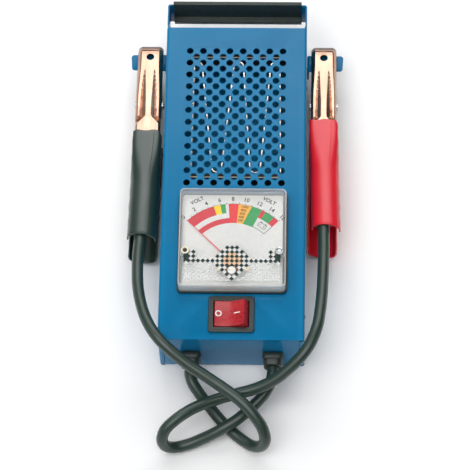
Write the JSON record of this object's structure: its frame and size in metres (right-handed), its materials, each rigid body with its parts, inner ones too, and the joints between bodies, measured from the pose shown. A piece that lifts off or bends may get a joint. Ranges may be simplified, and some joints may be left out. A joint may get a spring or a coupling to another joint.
{
  "type": "battery tester",
  "caption": "Hand-held battery load tester: vented steel case with handle, square dial meter, rocker switch, and two leads ending in clamps parked on side tabs.",
  "frame": {"origin": "centre of the case's back face, which the tester lies on", "axes": "+X across the case to the red clamp's side, +Y towards the handle, +Z out of the front"},
  "size_m": [0.162, 0.3503, 0.0634],
  "materials": {
    "blue_paint": "satin blue stove enamel on sheet steel",
    "black_plastic": "black moulded plastic",
    "lead_sheath": "black flexible lead sheath",
    "link_wire": "dark insulated link wire",
    "black_sleeve": "black soft vinyl, glossy",
    "red_sleeve": "red soft vinyl, glossy",
    "red_rocker": "red moulded plastic",
    "copper_plate": "copper-plated steel, bright",
    "steel": "zinc-plated steel",
    "black_steel": "black-finished steel",
    "brass": "turned brass",
    "ceramic": "white insulating board",
    "resistance_ribbon": "bright resistance alloy ribbon",
    "clear_plastic": "clear moulded plastic, prismatic lower part",
    "dial_white": "printed white dial plate",
    "needle_red": "red needle",
    "coil_winding": "enamelled copper winding",
    "white_plastic": "white moulded plastic"
  },
  "bodies": {
    "case": {"bearing_bridge": "brass", "black_clamp_front_jaw": "copper_plate", "black_clamp_front_sleeve": "black_sleeve", "black_clamp_pivot_pin": "steel", "black_clamp_spring": "steel", "black_lead": "lead_sheath", "black_lead_tail": "lead_sheath", "black_meter_wire": "link_wire", "contact_lever": "brass", "core_bracket": "brass", "dial_plate": "dial_white", "front_cover": "blue_paint", "hairspring": "brass", "handle_grip": "black_plastic", "handle_strap": "blue_paint", "iron_core": "steel", "left_clamp_tab": "blue_paint", "left_cover_screw": "steel", "left_gland": "black_plastic", "left_handle_screw": "black_steel", "left_meter_nut": "brass", "left_meter_terminal": "brass", "left_side_screw": "black_steel", "left_switch_terminal": "brass", "left_tab_rivet": "steel", "lower_insulator_rail": "ceramic", "magnet_ring": "steel", "meter_cover": "clear_plastic", "meter_housing": "black_plastic", "rear_shell": "blue_paint", "red_clamp_front_jaw": "copper_plate", "red_clamp_front_sleeve": "red_sleeve", "red_clamp_pivot_pin": "steel", "red_clamp_spring": "steel", "red_lead": "lead_sheath", "red_lead_tail": "lead_sheath", "red_meter_wire": "link_wire", "resistor_ribbon": "resistance_ribbon", "ribbon_return_wire": "link_wire", "right_clamp_tab": "blue_paint", "right_cover_screw": "steel", "right_gland": "black_plastic", "right_handle_screw": "black_steel", "right_meter_nut": "brass", "right_meter_terminal": "brass", "right_side_screw": "black_steel", "right_switch_terminal": "brass", "right_tab_rivet": "steel", "switch_body": "black_plastic", "switch_feed_wire": "link_wire", "switch_ribbon_wire": "link_wire", "upper_insulator_rail": "ceramic"},
    "movement_coil": {"moving_coil": "coil_winding", "needle": "needle_red"},
    "zero_adjuster": {"zero_adjust_screw": "white_plastic"},
    "rocker": {"rocker": "red_rocker"},
    "black_clamp_rear": {"black_clamp_rear_jaw": "copper_plate", "black_clamp_rear_sleeve": "black_sleeve"},
    "red_clamp_rear": {"red_clamp_rear_jaw": "copper_plate", "red_clamp_rear_sleeve": "red_sleeve"}
  },
  "joints": [
    {"name": "needle_swing", "type": "hinge", "parent": "case", "child": "movement_coil", "pos_m": [0, -0.07, 0.05], "axis": [0, 0, -1], "range_deg": [0, 90], "stiffness_Nm_per_rad": 0.0002},
    {"name": "zero_adjust", "type": "hinge", "parent": "case", "child": "zero_adjuster", "pos_m": [0, -0.0786, 0.06], "axis": [0, 0, 1], "range_deg": [-30, 30]},
    {"name": "rocker_tilt", "type": "hinge", "parent": "case", "child": "rocker", "pos_m": [0, -0.1081, 0.0491], "axis": [0, 1, 0], "range_deg": [0, 24], "stiffness_Nm_per_rad": 0.08, "springref_deg": -5.73},
    {"name": "black_clamp_squeeze", "type": "hinge", "parent": "case", "child": "black_clamp_rear", "pos_m": [-0.066, 0.0735, 0.025], "axis": [-1, 0, 0], "range_deg": [0, 8], "stiffness_Nm_per_rad": 2, "springref_deg": -5.73, "deforming": ["black_clamp_spring"]},
    {"name": "red_clamp_squeeze", "type": "hinge", "parent": "case", "child": "red_clamp_rear", "pos_m": [0.066, 0.0735, 0.025], "axis": [-1, 0, 0], "range_deg": [0, 8], "stiffness_Nm_per_rad": 2, "springref_deg": -5.73, "deforming": ["red_clamp_spring"]}
  ]
}
